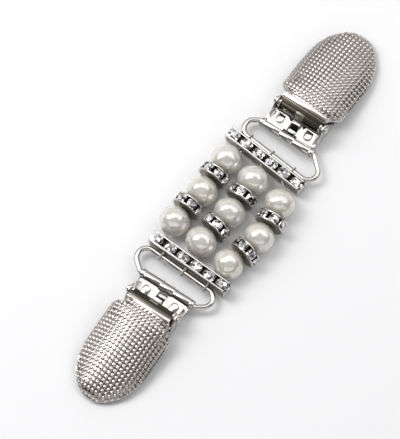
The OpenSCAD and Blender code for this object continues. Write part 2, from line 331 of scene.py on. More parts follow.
def cut_stone(diameter):
    """A round cut stone: table, star, main and girdle facets above, eight facets below."""
    bm = bmesh.new()
    # Each ring's corners, its radius and height as shares of the diameter, and its first corner
    for count, radius, height, start in (
        (8, 0.08, -0.38, 22.5),
        (16, 0.5, -0.04, 0),
        (16, 0.5, 0.0, 0),
        (8, 0.4, 0.085, 0),
        (8, 0.28, 0.15, 22.5),
    ):
        for i in range(count):
            a = math.radians(start + 360 * i / count)
            bm.verts.new(diameter * Vector((radius * math.cos(a), radius * math.sin(a), height)))
    bmesh.ops.convex_hull(bm, input=bm.verts)
    bmesh.ops.dissolve_limit(bm, angle_limit=math.radians(0.5), verts=bm.verts, edges=bm.edges)
    return bm


def cut_across(bm, x, side=1, clear=False):
    """Cuts the mesh across X and can clear what lies beyond, returning what the cut made."""
    return bmesh.ops.bisect_plane(
        bm,
        geom=bm.verts[:] + bm.edges[:] + bm.faces[:],
        dist=1e-5,
        plane_co=(x, 0, 0),
        plane_no=(side, 0, 0),
        clear_outer=clear,
    )["geom_cut"]


def trim(bm, half):
    """Cuts a closed shape flat at both sides, half its width from the middle along X."""
    for side in (-1, 1):
        made = cut_across(bm, side * half, side, clear=True)
        edges = [item for item in made if isinstance(item, bmesh.types.BMEdge)]
        if edges:
            bmesh.ops.contextual_create(bm, geom=edges)


def span(values, x):
    """The span of rising values that x lies in, or the first or last where it lies outside."""
    return min(max(bisect_left(values, x) - 1, 0), len(values) - 2)


def smooth_lookup(table):
    """A smooth curve through a table of (x, y) that never passes its points."""
    xs, ys = zip(*table)
    steps = [(ys[i + 1] - ys[i]) / (xs[i + 1] - xs[i]) for i in range(len(xs) - 1)]
    slopes = [steps[0]]
    for a, b in zip(steps, steps[1:]):
        slopes.append(0 if a * b <= 0 else 2 * a * b / (a + b))
    slopes.append(steps[-1])

    def value(x):
        x = min(max(x, xs[0]), xs[-1])
        i = span(xs, x)
        h = xs[i + 1] - xs[i]
        t = (x - xs[i]) / h
        return (
            ys[i] * (1 + 2 * t) * (1 - t) ** 2
            + slopes[i] * h * t * (1 - t) ** 2
            + ys[i + 1] * t * t * (3 - 2 * t)
            + slopes[i + 1] * h * t * t * (t - 1)
        )

    return value


def ease(x, low, high):
    """A smooth step from 0 at low to 1 at high."""
    t = min(max((x - low) / (high - low), 0), 1)
    return t * t * (3 - 2 * t)


# Node groups and materials


def node_group(name, inputs, outputs):
    """A new group, its input node and its output node. An input without a default is a vector."""
    group = bpy.data.node_groups.new(name, "ShaderNodeTree")
    for label, default in inputs.items():
        kind = "NodeSocketVector" if default is None else "NodeSocketFloat"
        socket = group.interface.new_socket(name=label, in_out="INPUT", socket_type=kind)
        if default is not None:
            socket.default_value = default
    for label in outputs:
        kind = "NodeSocketVector" if label == "Normal" else "NodeSocketFloat"
        group.interface.new_socket(name=label, in_out="OUTPUT", socket_type=kind)
    return group, group.nodes.new("NodeGroupInput"), group.nodes.new("NodeGroupOutput")


def add_node(tree, kind, inputs=None, **settings):
    """A node with its settings, each input linked from a socket or set to a value."""
    node = tree.nodes.new("ShaderNode" + kind)
    for key, value in settings.items():
        setattr(node, key, value)
    for key, value in (inputs or {}).items():
        if isinstance(value, bpy.types.NodeSocket):
            tree.links.new(value, node.inputs[key])
        else:
            node.inputs[key].default_value = value
    return node


def add_noise(tree, vector, scale, detail):
    inputs = {"Vector": vector, "Scale": scale, "Detail": detail}
    return add_node(tree, "TexNoise", inputs).outputs["Fac"]


def add_range(tree, value, start, end, low, high):
    """A value that runs from start to end, made to run from low to high."""
    inputs = {"Value": value, "From Min": start, "From Max": end, "To Min": low, "To Max": high}
    return add_node(tree, "MapRange", inputs).outputs[0]


def add_mix(tree, factor, first, second):
    """A colour between two, each a socket or three numbers."""
    inputs = {"Factor": factor}
    for key, tone in (("A", first), ("B", second)):
        inputs[key] = tone if isinstance(tone, bpy.types.NodeSocket) else (*tone, 1.0)
    return add_node(tree, "Mix", inputs, data_type="RGBA").outputs["Result"]


def add_math(tree, operation, *vectors, **scale):
    """Vector arithmetic. The scale of a SCALE is given as Scale."""
    inputs = dict(enumerate(vectors)) | scale
    return add_node(tree, "VectorMath", inputs, operation=operation).outputs[0]


def add_bump(tree, shader, height, strength, distance):
    """Fine relief under the shader's gloss."""
    inputs = {"Height": height, "Strength": strength, "Distance": distance}
    bump = add_node(tree, "Bump", inputs).outputs[0]
    tree.links.new(bump, shader.inputs["Normal"])
    return bump


def patchy_group():
    """Slow patches and fine specks, as handling and plating leave them."""
    if "Patchy surface" in bpy.data.node_groups:
        return bpy.data.node_groups["Patchy surface"]
    group, given, out = node_group(
        "Patchy surface",
        {"Vector": None, "Patch scale": 300.0, "Speck scale": 4000.0, "Low": 0.1, "High": 0.3},
        ["Mask", "Value", "Height"],
    )
    vector, patch, speck, low, high = given.outputs[:5]
    patches = add_noise(group, vector, patch, 3.0)
    specks = add_noise(group, vector, speck, 2.0)
    both = add_node(group, "Mix", {"Factor": 0.35, "A": patches, "B": specks}).outputs[0]
    group.links.new(both, out.inputs["Mask"])
    group.links.new(add_range(group, both, 0.3, 0.7, low, high), out.inputs["Value"])
    group.links.new(specks, out.inputs["Height"])
    return group


def facet_group():
    """Small flat cells, each tilted its own way, as a foiled stone shows its lower facets, and a
    mask that sets their painted reflections.
    """
    group, given, out = node_group(
        "Inner facets", {"Vector": None, "Scale": 1500.0, "Tilt": 0.6}, ["Normal", "Mask"]
    )
    vector, scale, tilt = given.outputs[:3]
    cells = add_node(group, "TexVoronoi", {"Vector": vector, "Scale": scale}).outputs["Color"]
    lean = add_math(group, "SUBTRACT", cells, (0.5, 0.5, 0.5))
    lean = add_math(group, "SCALE", lean, Scale=tilt)
    normal = add_node(group, "NewGeometry").outputs["Normal"]
    tipped = add_math(group, "NORMALIZE", add_math(group, "ADD", normal, lean))
    split = add_node(group, "SeparateColor", {0: cells})
    group.links.new(tipped, out.inputs["Normal"])
    group.links.new(split.outputs[0], out.inputs["Mask"])
    return group


def new_material(name, **values):
    """A material with its constants set on the shader, and object coordinates from a mapping."""
    material = bpy.data.materials.new(name)
    material.use_nodes = True
    tree = material.node_tree
    shader = tree.nodes["Principled BSDF"]
    for key, value in values.items():
        shader.inputs[key.replace("_", " ")].default_value = value
    place = add_node(tree, "TexCoord")
    mapping = add_node(tree, "Mapping", {"Vector": place.outputs["Object"]})
    return material, tree, shader, mapping.outputs[0]


def add_patchy(tree, shader, vector, patch, speck, low, high):
    """The patchy surface, its values from low to high linked as roughness."""
    inputs = {"Vector": vector, "Patch scale": patch, "Speck scale": speck}
    inputs |= {"Low": low, "High": high}
    patchy = add_node(tree, "Group", inputs, node_tree=patchy_group())
    tree.links.new(patchy.outputs["Value"], shader.inputs["Roughness"])
    return patchy


def metal(name, colour, dark, low, high, painted_hollow_shade=None):
    """Plated metal, patchy and finely grained. A painted shade darkens what isn't raised, for the
    shade in the hollows.
    """
    material, tree, shader, vector = new_material(name, Metallic=1.0)
    patchy = add_patchy(tree, shader, vector, 260.0, 5000.0, low, high)
    tone = add_mix(tree, patchy.outputs["Mask"], dark, colour)
    if painted_hollow_shade is not None:
        # Painted shade: the colour is darkened in the hollows, where the flap is not raised
        raised = add_node(tree, "Attribute", attribute_name=RAISED).outputs["Fac"]
        shade = add_range(tree, raised, 0, 1, painted_hollow_shade, 1)
        tone = add_math(tree, "SCALE", tone, Scale=shade)
    tree.links.new(tone, shader.inputs["Base Color"])
    add_bump(tree, shader, patchy.outputs["Height"], 0.02, 0.00005)
    return material


def pearl_coat(finishes):
    """An ivory coat with faint pink and green patches under a clear gloss."""
    material, tree, shader, vector = new_material(
        "Ivory pearl coat",
        Metallic=0.0,
        Subsurface_Weight=0.1,
        Subsurface_Radius=(1.0, 0.8, 0.6),
        Subsurface_Scale=0.0006,
        Coat_Weight=1.0,
        Coat_Roughness=0.025,
        Coat_IOR=3.0,
        Specular_IOR_Level=0.8,
    )
    patchy = add_patchy(tree, shader, vector, 180.0, 900.0, 0.26, 0.42)
    blush = add_mix(tree, patchy.outputs["Mask"], finishes.pearl_colour, finishes.pearl_blush)
    green = add_range(tree, add_noise(tree, vector, 120.0, 1.0), 0.35, 0.7, 0, 0.6)
    coat = add_mix(tree, green, blush, finishes.pearl_shade)
    tree.links.new(coat, shader.inputs["Base Color"])
    skin = add_bump(tree, shader, add_noise(tree, vector, 420.0, 1.5), 0.7, 0.0005)
    tree.links.new(skin, shader.inputs["Coat Normal"])
    return material


def foiled_crystal(finishes):
    """Foil seen through clear glass, its facets broken up into small tilted cells: their tilt
    reflects the lights, and each cell's tone, from near black to bright, is a painted reflection.
    """
    material, tree, shader, vector = new_material(
        "Foiled crystal",
        Metallic=0.8,
        Roughness=0.05,
        Coat_Weight=0.6,
        Coat_Roughness=0.01,
        Coat_IOR=1.6,
    )
    inputs = {"Vector": vector, "Scale": 1450.0, "Tilt": 1.1}
    facets = add_node(tree, "Group", inputs, node_tree=facet_group())
    # Painted reflections: each cell's foil is toned from near black to bright
    tones = add_range(tree, facets.outputs["Mask"], 0.18, 0.55, 0.03, 1)
    foil = add_math(tree, "SCALE", tuple(finishes.stone_colour), Scale=tones)
    tree.links.new(foil, shader.inputs["Base Color"])
    tree.links.new(facets.outputs["Normal"], shader.inputs["Normal"])
    return material


def twisted_thread(finishes):
    """Twisted fibres along each run."""
    material, tree, shader, vector = new_material(
        "Ivory thread", Roughness=0.6, Sheen_Weight=0.3, Metallic=0.0
    )
    inputs = {"Vector": vector, "Scale": 1400.0, "Distortion": 2.0, "Detail": 2.0}
    fibre = add_node(tree, "TexWave", inputs, bands_direction="DIAGONAL").outputs["Fac"]
    light = finishes.thread_colour
    tone = add_mix(tree, fibre, [c * 0.7 for c in light], light)
    tree.links.new(tone, shader.inputs["Base Color"])
    add_bump(tree, shader, fibre, 0.5, 0.0001)
    return material


def make_materials(finishes):
    """Every finish of the object, by name."""
    white, flap = tuple(finishes.metal_colour), tuple(finishes.flap_colour)
    warm = tuple(c * 0.82 for c in white)
    # Each metal's colours, light and dark, and its roughness from low to high
    metals = {
        "wire": ("Polished wire", white, warm, 0.07, 0.16),
        "plate": ("Polished sheet metal", white, warm, 0.06, 0.14),
        "spring": ("Spring sheet metal", white, warm, 0.14, 0.28),
        "pin": ("Rivet metal", white, warm, 0.12, 0.25),
        "setting": ("Stone setting metal", white, warm, 0.08, 0.2),
        # Painted shade: near-black metal for the spacers' cores, the bars' channels and the
        # spring's rise through the notch, which lie in shade
        "recess": ("Painted shade recess metal", (0.035, 0.033, 0.03), (0.008,) * 3, 0.3, 0.5),
        # Painted shade: dark metal for the flap's fold and curl, which lie in the flap's shade
        "inner": ("Painted shade inner metal", (0.085, 0.075, 0.055), (0.045, 0.04, 0.03), 0.35, 0.5),
        # Painted shade and painted reflection: olive grey for the spacers' flat sides and the
        # flap's lip and land in shade, and for the bars' sunk bands, which also stand for the
        # pearls' reflection
        "olive_painted_shade": ("Olive painted shade metal", (0.28, 0.265, 0.225), (0.22, 0.205, 0.17), 0.35, 0.5),
        # Bright on the raised dots, with painted shade in the hollows between them
        "flap": ("Knurled flap metal", flap, flap, 0.12, 0.24, finishes.painted_hollow_shade),
    }
    made = {name: metal(*values) for name, values in metals.items()}
    made["pearl"] = pearl_coat(finishes)
    made["stones"] = foiled_crystal(finishes)
    made["thread"] = twisted_thread(finishes)
    return made


# The attribute that says how far a point of a flap is raised, which also sets the painted shade of
# its hollows
RAISED = "raised"
MATERIALS = {}


def finish(name):
    if not MATERIALS:
        MATERIALS.update(make_materials(bpy.context.scene.clip_finishes))
    return MATERIALS[name]


# Settings


def number(name, description, default, **limits):
    return FloatProperty(name=name, description=description, default=default, **limits)


def length(name, description, metres):
    return number(name, description, metres, unit="LENGTH")


def colour(name, description, *default):
    return FloatVectorProperty(
        name=name, description=description, subtype="COLOR", default=default, min=0, max=1
    )


class ClipSizes(bpy.types.PropertyGroup):
    bead_width: length("Bead width", "Diameter of a pearl bead", 0.008)
    stone_width: length("Bar stone width", "Diameter of a bar's stones", 0.0029)
    spacer_stones: IntProperty(
        name="Spacer stones", description="Stones round one spacer", default=7, min=5, max=9
    )
    edge_round: length("Edge rounding", "Rounding of the sheet's edges", 0.00012)
    knurl_pitch: length("Knurl pitch", "Distance between two raised dots of a flap", 0.0012)
    knurl_depth: length("Knurl depth", "Height of a flap's raised dots", 0.0002)
    key_power: number("Light power", "Power of the lights to a square metre", 7.6)
    key_focus: number("Key light share", "How much brighter the key light is", 2.2)


class ClipFinishes(bpy.types.PropertyGroup):
    metal_colour: colour("Plated metal", "Colour of the polished metal", 0.71, 0.685, 0.655)
    flap_colour: colour("Flap metal", "Colour of the knurled flaps", 0.74, 0.685, 0.64)
    # The painted shade in the flap's hollows, as a share of full brightness
    painted_hollow_shade: number(
        "Painted hollow shade", "Brightness of the hollows between the raised dots",
        0.5, min=0, max=1, subtype="FACTOR",
    )
    pearl_colour: colour("Pearl", "Colour of the pearl coat", 0.7, 0.68, 0.62)
    pearl_blush: colour("Pearl blush", "Faint pink of the pearl coat", 0.7, 0.645, 0.62)
    pearl_shade: colour("Pearl shade", "Faint green of the pearl coat", 0.64, 0.62, 0.48)
    stone_colour: colour("Stones", "Colour of the foil behind the stones", 0.98, 0.965, 0.97)
    thread_colour: colour("Thread", "Colour of the thread", 0.46, 0.44, 0.40)


# Stage

# The photograph's view: its turn and height, and its focal length and frame in pixels
AZ, EL = math.radians(52.3), math.radians(69)
FOCAL_PIXELS, PHOTO_PIXELS, SENSOR = 5775, 439, 36
GROUND_UP = Vector((math.sin(AZ), math.cos(AZ), 0))
RIGHT = Vector((math.cos(AZ), -math.sin(AZ), 0))
# One long strip of light overhead, brighter on the left: each part's reach from left to right,
# its reach along the view, and its shine
STRIP_HEIGHT = 0.6
STRIP = [
    ("Softbox left", -1.4, -0.1, -0.04, 0.3, 1.0),
    ("Softbox right", -0.1, 0.3, 0.03, 0.3, 0.6),
    ("Softbox end", 0.3, 0.9, -0.16, 0.3, 0.6),
    ("Softbox behind", -1.0, 0.8, 0.3, 0.5, 0.5),
]
# The other lights: place along the view, to its right and up, the height that each faces, its
# width, its depth and its share of the power
CARDS = [
    ("Key light", 0.14, -0.34, 0.58, 0, 0.3, 0.22, 0.066),
    ("Front card", -0.9, 0, 0.55, 0, 1.6, 0.5, 0.28),
    ("Far card", 0.9, 0.6, 0.42, 0.1, 2.3, 0.6, 0.36),
    ("Left card", 0.75, -0.75, 0.32, 0.1, 1.1, 0.6, 0.18),
]
# Tones of the surroundings, from the ground up
SURROUNDINGS = [(0.0, 0.25), (0.1, 0.05), (0.35, 0.08), (0.6, 0.18), (0.8, 0.26), (1.0, 0.26)]


def set_camera(scene):
    back = -GROUND_UP * math.cos(EL) + Vector((0, 0, math.sin(EL)))
    up = GROUND_UP * math.sin(EL) + Vector((0, 0, math.cos(EL)))
    target, distance = Vector((-0.0058, 0.00529, 0.003)), 1.5
    lens = bpy.data.cameras.new("Camera")
    lens.sensor_width = SENSOR
    lens.lens = FOCAL_PIXELS * SENSOR / PHOTO_PIXELS
    lens.clip_start, lens.clip_end = 0.1, 20
    camera = add_object("Camera", lens)
    turn = Matrix((RIGHT, up, back)).transposed()
    camera.matrix_world = Matrix.Translation(target + back * distance) @ turn.to_4x4()
    scene.camera = camera


def lay_floor():
    bm = bmesh.new()
    bmesh.ops.create_grid(bm, x_segments=1, y_segments=1, size=6)
    floor = add_object("Floor", as_mesh(bm, "Floor"))
    paper, tree, shader, vector = new_material(
        "White paper", Base_Color=(0.9, 0.9, 0.91, 1), Roughness=0.7
    )
    add_patchy(tree, shader, vector, 8.0, 900.0, 0.62, 0.78)
    floor.data.materials.append(paper)


def hang_light(name, place, aim, width, depth, watts):
    """A flat light that faces its aim, its width towards the view's right."""
    light = bpy.data.lights.new(name, "AREA")
    light.shape = "RECTANGLE"
    light.size, light.size_y = width, depth
    light.energy = watts
    out = (place - aim).normalized()
    side = (RIGHT - RIGHT.dot(out) * out).normalized()
    turn = Matrix((side, out.cross(side), out)).transposed()
    add_object(name, light).matrix_world = Matrix.Translation(place) @ turn.to_4x4()


def hang_lights(sizes):
    for name, start, end, low, high, shine in STRIP:
        place = GROUND_UP * (low + high) / 2 + RIGHT * (start + end) / 2
        place.z = STRIP_HEIGHT
        width, depth = end - start, high - low
        watts = sizes.key_power * shine * width * depth
        hang_light(name, place, place - Vector((0, 0, 1)), width, depth, watts)
    for name, along, aside, up, aim, width, depth, share in CARDS:
        place = GROUND_UP * along + RIGHT * aside + Vector((0, 0, up))
        watts = sizes.key_power * share
        if name == "Key light":
            watts *= sizes.key_focus
        hang_light(name, place, Vector((0, 0, aim)), width, depth, watts)


def light_surroundings(scene):
    """Soft grey tones all round, and a plain pale backdrop for the camera."""
    world = bpy.data.worlds.new("Studio")
    world.use_nodes = True
    scene.world = world
    tree = world.node_tree
    coords = add_node(tree, "TexCoord").outputs["Generated"]
    split = add_node(tree, "SeparateXYZ", {0: coords})
    ramp = add_node(tree, "ValToRGB", {0: split.outputs["Z"]})
    elements = ramp.color_ramp.elements
    for place, _ in SURROUNDINGS[1:-1]:  # Its two ends are there already
        elements.new(place)
    for element, (_, tone) in zip(elements, SURROUNDINGS):
        element.color = (tone, tone, tone * 1.01, 1)
    seen = add_node(tree, "LightPath").outputs["Is Camera Ray"]
    backdrop = add_mix(tree, seen, ramp.outputs[0], (0.95, 0.95, 0.96))
    tree.links.new(backdrop, tree.nodes["Background"].inputs["Color"])


class CLIP_OT_stage(bpy.types.Operator):
    """Lay the floor, hang the lights and set up the camera"""

    bl_idname = "clip.stage"
    bl_label = "Stage"

    def execute(self, context):
        scene = context.scene
        set_camera(scene)
        lay_floor()
        hang_lights(scene.clip_sizes)
        light_surroundings(scene)
        scene.view_settings.view_transform = "Standard"
        scene.view_settings.look = "None"
        scene.cycles.use_denoising = True
        return {"FINISHED"}


# Pieces


def pearl_bead(radius, strand, row):
    """A bead drilled along X, with a slow unevenness of its own."""
    bore, lip = 0.65, 0.14
    reach = math.sqrt(radius**2 - (bore + lip) ** 2)
    edge = math.degrees(math.atan2(bore + lip, reach))
    # From inside the bore over its lip, along the bead and back in
    wall = [(-2.2, bore), (-reach + lip * 0.9, bore), (-reach + lip * 0.3, bore + lip * 0.25)]
    crown = arc(0, 0, radius, 180 - edge, edge, 44)
    bm = turned_solid(wall + crown + [(-x, r) for x, r in reversed(wall)], 72)
    seed = Vector((strand * 7.3, row * 5.1, 2.7))
    for vert in bm.verts:
        if vert.co.length > radius - 0.05:
            wave = noise.noise(vert.co * 0.32 + seed) * 0.5 - 0.5
            vert.co *= 1 + 0.01 * max(-1, min(0, wave))
        # A little wider across the strand than along it, the outer strands inwards only
        share = ease(math.hypot(vert.co.y, vert.co.z), 1, 3.2)
        if (strand - 1) * vert.co.y >= 0:
            vert.co.y *= 1 + 0.078 * share
        vert.co.z *= 1 + 0.042 * share
    return bm


class CLIP_OT_beads(bpy.types.Operator):
    """Turn the nine pearl beads, each drilled along its strand"""

    bl_idname = "clip.beads"
    bl_label = "Pearl beads"

    def execute(self, context):
        radius = context.scene.clip_sizes.bead_width / 2 / MM - 0.005
        for strand, letter in enumerate("abc"):
            for row, k in enumerate((1, 0, -1), 1):
                place = on_strand(strand, k, line_turn(strand, place_x(strand, k)))
                finish_piece(pearl_bead(radius, strand, row), "bead", f"{letter}{row}", place)
        return {"FINISHED"}


def spacer_setting():
    """Two flanges, each with a groove round its flat side, and the core between them."""
    rim, half, edge = 4.14, 1.395, 0.1
    groove, inside = half - 0.06, half - 0.4
    flange = [
        (half, 0.75), (half, 3.1), (groove, 3.2), (groove, 3.7), (half, 3.8),
        (half, rim - edge), (half - edge * 0.3, rim - edge * 0.3), (half - edge, rim),
        (half - 0.3, rim), (half - 0.37, rim - 0.03), (inside, rim - 0.1),
        (inside, 2.2), (inside, 0.75),
    ]
    bm = bmesh.new()
    for side in (-1, 1):
        ring = turned_solid([(side * x, r) for x, r in flange], 72, closed=True)
        # The flat side is darker than the rim: painted shade for the shadow between spacer and
        # pearl
        for face in ring.faces:
            middle = face.calc_center_median()
            if abs(middle.x) > half - 0.1 and math.hypot(middle.y, middle.z) < 3.72:
                face.material_index = 2
        add_to(bm, ring, material=None)
    # The core between the stones is near-black: painted shade
    core = [(-1.05, 0.72), (-1.05, 2.3), (1.05, 2.3), (1.05, 0.72)]
    add_to(bm, turned_solid(core, 48, closed=True), material=1)
    return bm


def spacer_stones(count, spin):
    bm = bmesh.new()
    for i in range(count):
        part = cut_stone(2.8)
        trim(part, 0.95)
        # The stone's own X goes along the strand, its table points outwards
        outwards = Matrix.Rotation(math.radians(270 - spin + 360 * i / count), 4, "X")
        add_to(bm, part, outwards @ Matrix.Translation((0, 0, 3.7)))
    return bm


class CLIP_OT_spacers(bpy.types.Operator):
    """Turn the six stone-set spacers and set their stones"""

    bl_idname = "clip.spacers"
    bl_label = "Spacers"

    def execute(self, context):
        count = context.scene.clip_sizes.spacer_stones
        for row, k in enumerate((0.5, -0.5)):
            for strand, letter in enumerate("abc"):
                label = f"{letter}{row + 1}"
                place = on_strand(strand, k, LEANS[row][strand])
                finish_piece(spacer_setting(), "spacer", label, place)
                stones = spacer_stones(count, SPINS[row][strand])
                finish_piece(stones, "spacer_stones", label, place)
        return {"FINISHED"}


def bar_channel(stone_pitch):
    """An end bar: two side walls with sunk bands and thread slots, and the channel's floor."""
    low, mid, top = 1.2, 3.45, 5.7
    half = 12.595
    outline = rounded(
        [
            (-half, mid), (-half + 0.35, low + 0.4), (-half + 1, low), (half - 1, low),
            (half - 0.35, low + 0.4), (half, mid), (half - 0.25, top - 0.5),
            (half - 0.7, top), (-half + 0.7, top), (-half + 0.25, top - 0.5),
        ],
        0.35,
    )
    slots = [
        rounded([(v - 0.5, 1.7), (v + 0.5, 1.7), (v + 0.5, 4.5), (v - 0.5, 4.5)], 0.25)
        for v in (-7.2, 0, 7.2)
    ]
    band = rounded([(-11.9, 1.8), (11.9, 1.8), (11.9, 4.9), (-11.9, 4.9)], 0.3)
    bm = bmesh.new()
    for a, b in ((-1.55, -1.15), (1.15, 1.55)):
        add_to(bm, plate([outline] + slots, a, b, 0.1, "x"))
    # Each side's sunk band, darker than its rims: painted shade, and a painted reflection of the
    # pearls
    for a, b in ((-1.58, -1.53), (1.53, 1.58)):
        add_to(bm, plate([band] + slots, a, b, 0.01, "x"), material=2)
    add_to(bm, round_box((-1.2, -11.8, 1.25), (1.2, 11.8, 1.7), 0.05))
    for v in (-12.15, 12.15):
        add_to(bm, round_box((-1.2, v - 0.2, 1.3), (1.2, v + 0.2, 4.3), 0.08))
    # The channel's fill between the thread slots is near-black: painted shade
    for a, b in ((-11.8, -7.7), (-6.7, -0.5), (0.5, 6.7), (7.7, 11.8)):
        add_to(bm, round_box((-1.2, a, 1.6), (1.2, b, 4.15), 0.05), material=1)
    # A thin wall of the channel between two stones' cups, near-black for painted shade
    for i in range(-2, 3):
        v = i * stone_pitch
        wall = round_box((-1.16, v - 0.14, 4.1), (1.16, v + 0.14, 4.85), 0.06)
        add_to(bm, wall, material=1)
    return bm


def bar_stones(width, pitch):
    bm = bmesh.new()
    for i in range(6):
        part = cut_stone(width)
        # Stretched, because the stones stand close in their row
        part.transform(Matrix.Diagonal((1.12, 1.22, 1, 1)))
        trim(part, 1.12)
        add_to(bm, part, Matrix.Translation((0, (i - 2.5) * pitch, 5.35)))
    return bm


class CLIP_OT_bars(bpy.types.Operator):
    """Cut the two end bars and set their stones"""

    bl_idname = "clip.bars"
    bl_label = "End bars"

    def execute(self, context):
        width = context.scene.clip_sizes.stone_width / MM
        pitch = 4.2
        for side in SIDES:
            finish_piece(bar_channel(pitch), "bar", side, at_bar(side))
            finish_piece(bar_stones(width, pitch), "bar_stones", side, at_bar(side))
        return {"FINISHED"}


class CLIP_OT_threads(bpy.types.Operator):
    """Dress the thread of each strand"""

    bl_idname = "clip.threads"
    bl_label = "Threads"

    def execute(self, context):
        for letter in "abc":
            bm = bmesh.new()
            bm.from_mesh(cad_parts[f"thread_{letter}"].data)
            bmesh.ops.remove_doubles(bm, verts=bm.verts, dist=1e-6)
            bmesh.ops.recalc_face_normals(bm, faces=bm.faces)
            for face in bm.faces:
                face.material_index = 0
            finish_piece(bm, "strand_thread", letter, Matrix.Identity(4))
        return {"FINISHED"}


def loop_path(side):
    """The wire's centre line: four corners, each rounded by an arc."""
    bar, clip = bar_frame(side), clip_frame()
    corners = [
        bar @ Vector((2.6, 16, 0)),
        clip @ Vector((HEM_U, HEM_HALF + 0.5, 0)),
        clip @ Vector((HEM_U, -HEM_HALF - 0.5, 0)),
        bar @ Vector((2.6, -17.8, 0)),
    ]
    path = []
    for i, (p, bend) in enumerate(zip(corners, (2.6, 1, 1, 2.6))):
        before = (corners[i - 1] - p).normalized()
        after = (corners[(i + 1) % 4] - p).normalized()
        half = before.angle(after) / 2
        middle = (before + after).normalized()
        centre = p + middle * bend / math.sin(half)
        first = math.atan2(-middle.y, -middle.x) + math.pi / 2 - half
        last = first - (math.pi - 2 * half)
        for x, y in arc(centre.x, centre.y, bend, math.degrees(first), math.degrees(last), 16):
            path.append((x, y, LOOP_Z))
    return path


class CLIP_OT_loops(bpy.types.Operator):
    """Bend the two wire loops"""

    bl_idname = "clip.loops"
    bl_label = "Wire loops"

    def execute(self, context):
        for side in SIDES:
            bm = wire(loop_path(side), 0.748)
            finish_piece(bm, "loop_wire", side, at_end(side), f"loop_{side}")
        return {"FINISHED"}


def hem(v0, v1, start=0.0, angle=360.0):
    """A ring of the rolled hem, from v0 to v1 across the clip."""
    lip = 0.12
    inner, outer = 0.84, 1.325
    profile = [
        (v0, inner + lip * 0.5), (v0 + lip * 0.5, inner), (v1 - lip * 0.5, inner),
        (v1, inner + lip * 0.5), (v1, outer - lip), (v1 - lip * 0.3, outer - lip * 0.3),
        (v1 - lip, outer), (v0 + lip, outer), (v0 + lip * 0.3, outer - lip * 0.3),
        (v0, outer - lip),
    ]
    ring = turned_solid(profile, max(8, round(angle / 7.5)), angle, start, closed=True)
    ring.transform(across_clip(HEM_U, LOOP_Z))
    return ring


def clip_sheet(edge):
    """A clip plate: hem, panel, web, lower jaw and ears of one sheet."""
    bm = bmesh.new()
    fine = edge * 0.8

    # The rolled hem, open in two slots along the side towards the panel
    for a, b in ((-8.2, -7.2), (-2.1, 2.1), (7.2, 8.2)):
        add_to(bm, hem(a, b))
    # The slots' two edges, measured from straight up towards the panel: 30 degrees and 76
    for a, b in ((-7.3, -2.0), (2.0, 7.3)):
        add_to(bm, hem(a, b, 76, 314))

    # The panel is notched down its middle, and slopes down to the hem
    sheet = mirrored([(-7.35, -7.8), (-3, -7.45), (-3, -1.3), (-6.9, -1.3)])
    sheet = rounded(sheet, [0, 0, 0.6, 0.2, 0.2, 0.6, 0, 0])
    cuts, tongues = [], []
    for side in (-1, 1):
        # A round-ended cut, the tongue that is pressed up in it, and a narrow slot at the edge
        v, w = side * 4.4, side * 6.75
        cuts.append([(-3.8, v + 1.1)] + arc(-5.3, v, 1.1, 90, 270, 16) + [(-3.8, v - 1.1)])
        slot = [(-6.3, w - 0.2), (-4.1, w - 0.2), (-4.1, w + 0.2), (-6.3, w + 0.2)]
        cuts.append(rounded(slot, 0.12))
        tongues.append([(-3.7, v + 0.9)] + arc(-5.3, v, 0.9, 90, 270, 16) + [(-3.7, v - 0.9)])
    panel = plate([sheet] + cuts, 3.2, 3.7, fine)
    for outline in tongues:
        tongue = plate([outline], 3.25, 3.65, fine)
        for vert in tongue.verts:
            vert.co.z += 0.14 * (-3.7 - vert.co.x)
        add_to(panel, tongue)
    for vert in panel.verts:
        vert.co.z += 0.1 * (vert.co.x + 3)
    add_to(bm, panel)

    # The sheet's bend from the panel up over the hem, beside and between its slots
    bend = (
        [(-6.85, 3.05), (-6.85, 3.31), (-7.2, 3.5)]
        + arc(HEM_U, LOOP_Z, 1.35, 42, 128, 18)
        + arc(HEM_U, LOOP_Z, 0.95, 128, 30, 14)
    )
    for a, b in ((-7.75, -7.1), (-2.1, 2.1), (7.1, 7.75)):
        add_to(bm, plate([bend], a, b, 0.04, "y"))
    # Two small pips at the hem's edge
    for v in (1.33, -1.84):
        pip = bmesh.new()
        bmesh.ops.create_uvsphere(pip, u_segments=16, v_segments=8, radius=0.27)
        add_to(bm, pip, Matrix.Translation((HEM_U - 1.2, v, 3.5)))

    # The web down from the panel to the jaw, the jaw, and an ear at each side with the pin's hole
    web = rounded([(-3.05, 3.68), (-3.1, 3.2), (-1.25, 0.02), (-1, 0.5), (-2.75, 3.5)], 0.1)
    add_to(bm, plate([web], -7.45, 7.45, 0.04, "y"))
    jaw = mirrored([(-1.25, -7.48), (2.6, -7.48), (3, -7), (17, -7), (19.4, -5.4), (20, -4)])
    bends = [0.1, 0.3, 0.3, 1.5, 1.0, 1.5]
    add_to(bm, plate([rounded(jaw, bends + bends[::-1])], 0.005, 0.5, fine))
    ear = rounded(
        [
            (-6, 3.25), (-6, 3.7), (-3.35, 6.9), (-2.9, 7.42), (-2.07, 7.55), (-1.25, 7.4),
            (-0.8, 6.9), (0.6, 4.1), (2.6, 0.5), (2.6, 0.02), (-1.1, 0.02), (-3.05, 3.2),
        ],
        [0.1, 0.4, 1.5, 0.5, 0.5, 0.5, 0.6, 0.8, 0.3, 0.1, 0.1, 0.4],
    )
    for a, b in ((-7.495, -7.0), (7.0, 7.495)):
        add_to(bm, plate([ear, pin_hole(0.69)], a, b, edge, "y"))
    return bm


def pin_hole(radius):
    return arc(PIN_U, PIN_Z, radius, 0, 352.5, 47)


class CLIP_OT_plates(bpy.types.Operator):
    """Fold the two clip plates"""

    bl_idname = "clip.plates"
    bl_label = "Clip plates"

    def execute(self, context):
        edge = context.scene.clip_sizes.edge_round / MM
        for side in SIDES:
            finish_piece(clip_sheet(edge), "clip_sheet", side, at_clip(side), f"clip_{side}")
        return {"FINISHED"}


